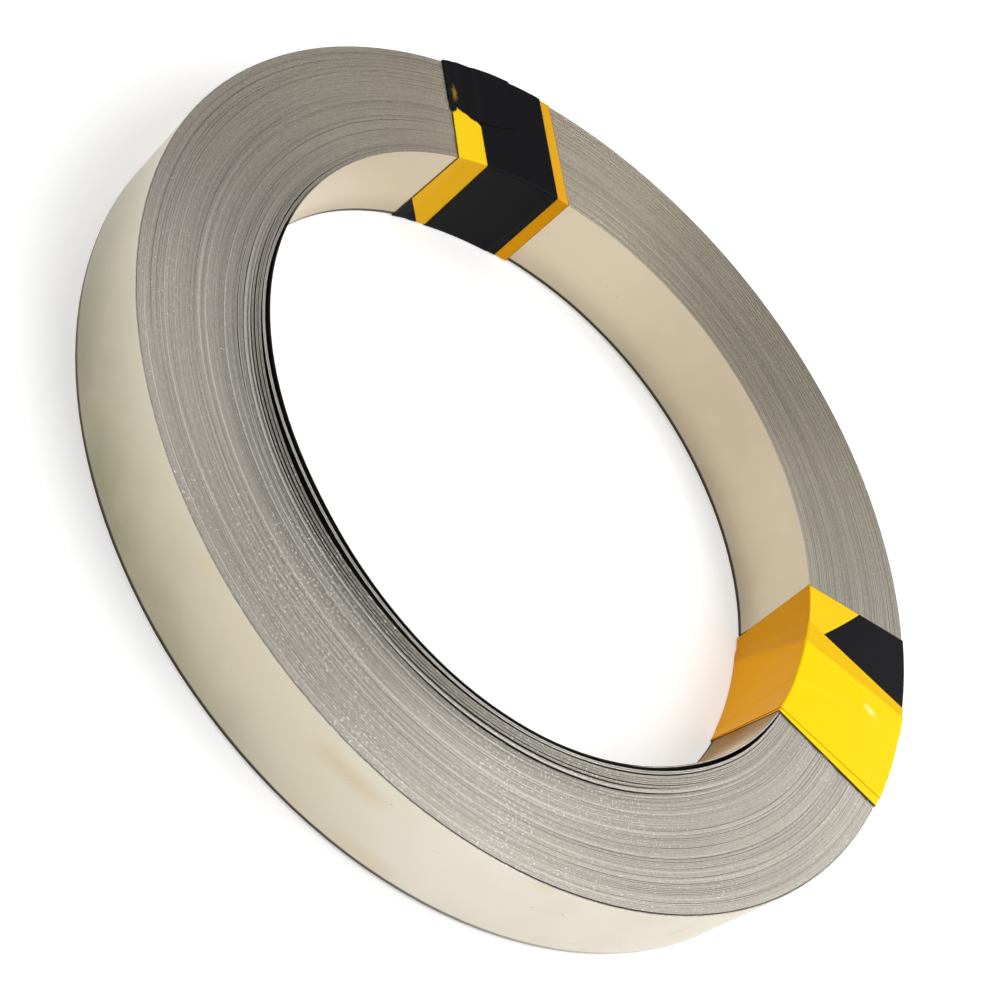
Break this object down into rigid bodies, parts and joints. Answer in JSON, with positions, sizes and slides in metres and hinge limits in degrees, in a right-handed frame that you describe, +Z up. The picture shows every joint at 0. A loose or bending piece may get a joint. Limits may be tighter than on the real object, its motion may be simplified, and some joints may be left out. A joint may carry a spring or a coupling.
{
  "type": "coil of nickel strip",
  "caption": "Flat ring-shaped coil of thin nickel strip with an open bore, held by bands of yellow and black hazard tape.",
  "frame": {"origin": "under the middle of the coil, on the level of the tape that it rests on", "axes": "+Z up along the coil's axis; the black band lies at 150 degrees and the yellow one at 30 degrees from +X"},
  "size_m": [0.221, 0.221, 0.0268],
  "materials": {
    "nickel": "bright rolled nickel with a fine grain, satin on the wound edges",
    "tape_black": "glossy tape, black with yellow diagonal stripes",
    "tape_yellow": "glossy tape, yellow with black diagonal stripes"
  },
  "bodies": {
    "root": {"nickel_strip_coil": "nickel", "tape_band_black": "tape_black", "tape_band_yellow": "tape_yellow"}
  },
  "joints": []
}
